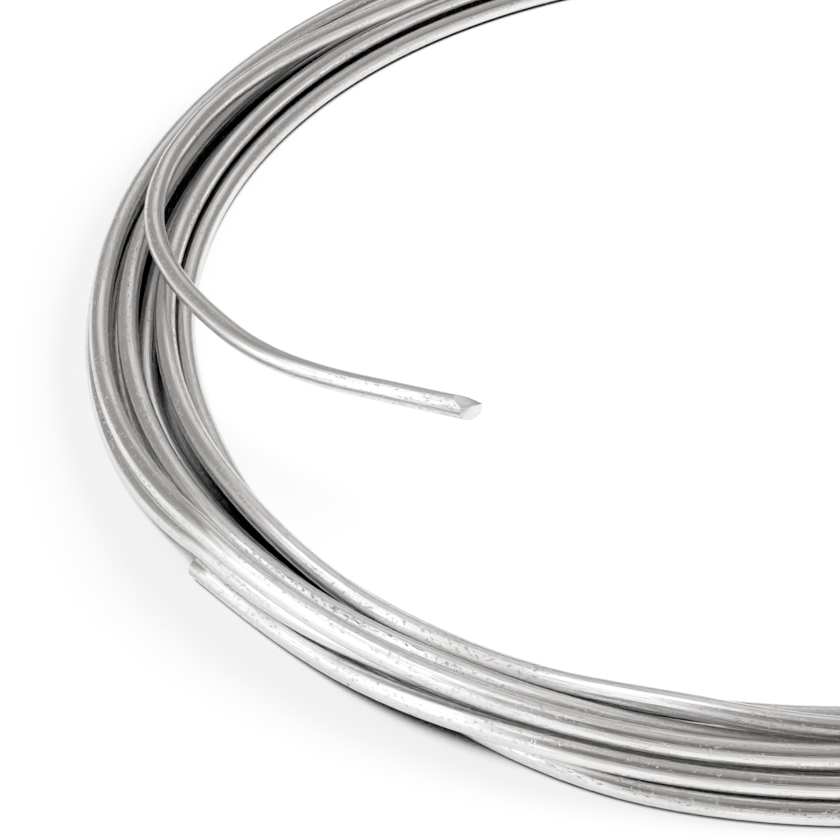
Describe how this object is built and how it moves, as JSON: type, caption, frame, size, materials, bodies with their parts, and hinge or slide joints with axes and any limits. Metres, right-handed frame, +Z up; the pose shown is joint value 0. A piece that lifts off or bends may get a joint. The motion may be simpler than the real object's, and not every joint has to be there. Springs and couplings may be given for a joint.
{
  "type": "coil of aluminium wire",
  "caption": "Loose hand coil of round bright aluminium wire, turns drifting across each other, one snipped end springing into the eye.",
  "frame": {"origin": "middle of the coil's eye, on the surface that the coil lies on", "axes": "+Z up, along the coil's axis; the free end springs into the eye on the -X, -Y side"},
  "size_m": [0.137, 0.1373, 0.0107],
  "materials": {
    "wire": "bright drawn aluminium with fine drawing lines and small nicks"
  },
  "bodies": {
    "root": {"wire": "wire"}
  },
  "joints": []
}
